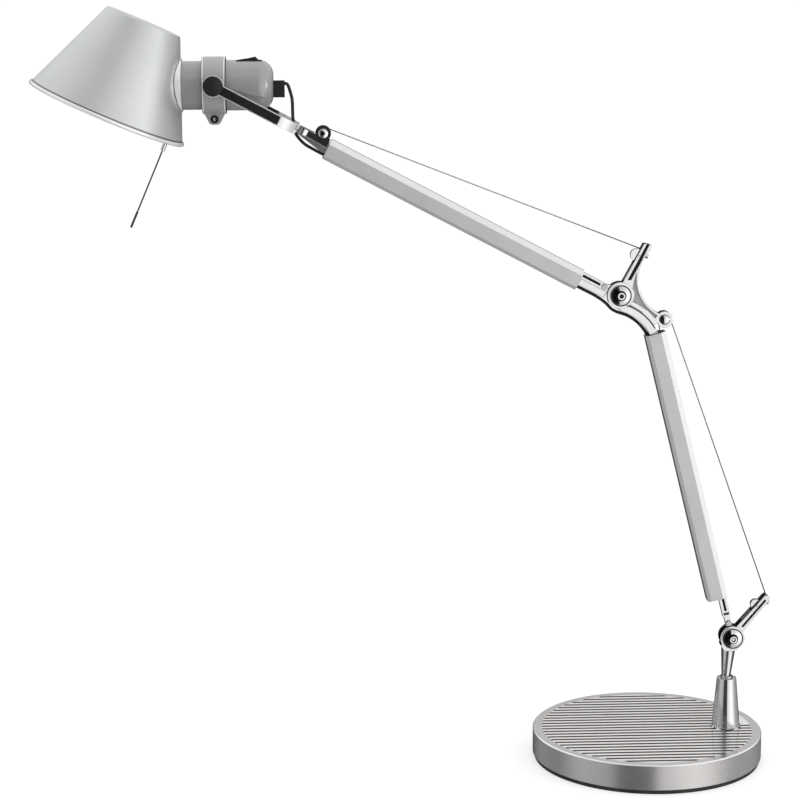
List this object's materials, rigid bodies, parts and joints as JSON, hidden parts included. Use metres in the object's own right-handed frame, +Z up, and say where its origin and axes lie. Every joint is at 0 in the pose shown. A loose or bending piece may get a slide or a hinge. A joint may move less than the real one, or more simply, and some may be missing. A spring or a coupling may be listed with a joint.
{
  "type": "swing arm desk lamp",
  "caption": "Desk lamp with a round grooved base, two tubular spring arms, polished joints and a side-entry cone shade held in a swivelling fork.",
  "frame": {"origin": "middle of the base's underside", "axes": "+Z up; -X is the way the head reaches out at rest; +Y is the far side of the arms, which lie in the plane y = 0"},
  "size_m": [0.6274, 0.2, 0.6535],
  "materials": {
    "base_cover": "brushed, satin side",
    "base_weight": "raw",
    "base_foot": "matt",
    "polished": "polished",
    "bush": "matt",
    "steel_small": "plain",
    "arm_tube": "satin anodised",
    "spring": "plain",
    "cable": "stranded",
    "black_plastic": "satin",
    "lead": "satin sleeve",
    "head_metal": "satin silver",
    "shade": "satin anodised",
    "holder": "matt",
    "bulb_cap": "plain",
    "bulb_glass": "frosted"
  },
  "bodies": {
    "base": {"base_foot": "base_foot", "base_weight": "base_weight", "base_cover": "base_cover", "socket_cone": "polished", "socket_bush": "bush", "socket_bolt": "steel_small", "socket_washer": "steel_small"},
    "stem": {"stem": "polished", "stem_bolt": "polished", "stem_disc_near": "polished", "stem_disc_far": "polished", "stem_nut": "polished", "stem_cam": "polished", "stem_screw": "polished"},
    "lower_arm": {"lower_tongue": "polished", "lower_screw": "polished", "lower_tube": "arm_tube", "lower_spring": "spring", "elbow_bracket": "polished", "elbow_bolt": "polished", "elbow_disc_near": "polished", "elbow_disc_far": "polished", "elbow_nut": "polished", "elbow_cam": "polished", "elbow_screw": "polished", "lower_pin": "polished", "lower_cable": "cable"},
    "lower_wheel": {"lower_pulley": "black_plastic"},
    "upper_arm": {"upper_tongue": "polished", "upper_screw": "polished", "upper_tube": "arm_tube", "upper_spring": "spring", "front_bracket": "polished", "pulley_block": "black_plastic", "upper_pin": "polished", "upper_cable": "cable", "elbow_lead": "lead"},
    "upper_wheel": {"upper_pulley": "black_plastic"},
    "fork": {"fork_stud": "polished", "fork_nut": "polished", "fork_yoke": "polished", "fork_inlay_near": "black_plastic", "fork_inlay_far": "black_plastic"},
    "clamp": {"ring_clamp": "head_metal", "clamp_screw": "polished", "clamp_nut": "polished", "tilt_cap_near": "black_plastic", "tilt_cap_far": "black_plastic"},
    "head": {"housing": "head_metal", "switch_bezel": "black_plastic", "strain_relief": "black_plastic", "side_collar": "polished", "lamp_holder": "holder", "shade": "shade", "bulb_cap": "bulb_cap", "bulb_glass": "bulb_glass", "handle_ferrule": "polished", "handle_rod": "polished", "head_lead": "lead"},
    "switch": {"rocker": "black_plastic"}
  },
  "joints": [
    {"name": "stem_swivel", "type": "hinge", "parent": "base", "child": "stem", "pos_m": [0.0701, 0, 0.07], "axis": [0, 0, 1], "continuous": true},
    {"name": "lower_lift", "type": "hinge", "parent": "stem", "child": "lower_arm", "pos_m": [0.0735, 0, 0.107], "axis": [0, -1, 0], "range_deg": [-25, 45], "deforming": ["lower_cable"]},
    {"name": "elbow", "type": "hinge", "parent": "lower_arm", "child": "upper_arm", "pos_m": [-0.02813, 0, 0.40944], "axis": [0, 1, 0], "range_deg": [-60, 45], "deforming": ["upper_cable", "elbow_lead"]},
    {"name": "fork_swivel", "type": "hinge", "parent": "upper_arm", "child": "fork", "pos_m": [-0.29842, 0, 0.55119], "axis": [-0.8838, 0, 0.4679], "range_deg": [-90, 90], "deforming": ["head_lead"]},
    {"name": "head_tilt", "type": "hinge", "parent": "fork", "child": "clamp", "pos_m": [-0.36806, 0, 0.58807], "axis": [0, -1, 0], "range_deg": [-75, 60], "deforming": ["head_lead"]},
    {"name": "head_roll", "type": "hinge", "parent": "clamp", "child": "head", "pos_m": [-0.36806, 0, 0.58807], "axis": [1, 0, 0], "range_deg": [-90, 90], "deforming": ["head_lead"]},
    {"name": "switch_rock", "type": "hinge", "parent": "head", "child": "switch", "pos_m": [-0.33906, 0, 0.60667], "axis": [0, 1, 0], "range_deg": [0, 12]},
    {"name": "lower_wheel_spin", "type": "hinge", "parent": "lower_arm", "child": "lower_wheel", "pos_m": [0.00975, 0, 0.38832], "axis": [0, 1, 0], "range_deg": [-190, 340]},
    {"name": "upper_wheel_spin", "type": "hinge", "parent": "upper_arm", "child": "upper_wheel", "pos_m": [-0.27837, 0, 0.54782], "axis": [0, -1, 0], "range_deg": [-482, 362]}
  ],
  "couplings": [
    {"joint": "lower_wheel_spin", "follows": "lower_lift", "ratio": 7.5},
    {"joint": "upper_wheel_spin", "follows": "elbow", "ratio": 8}
  ]
}
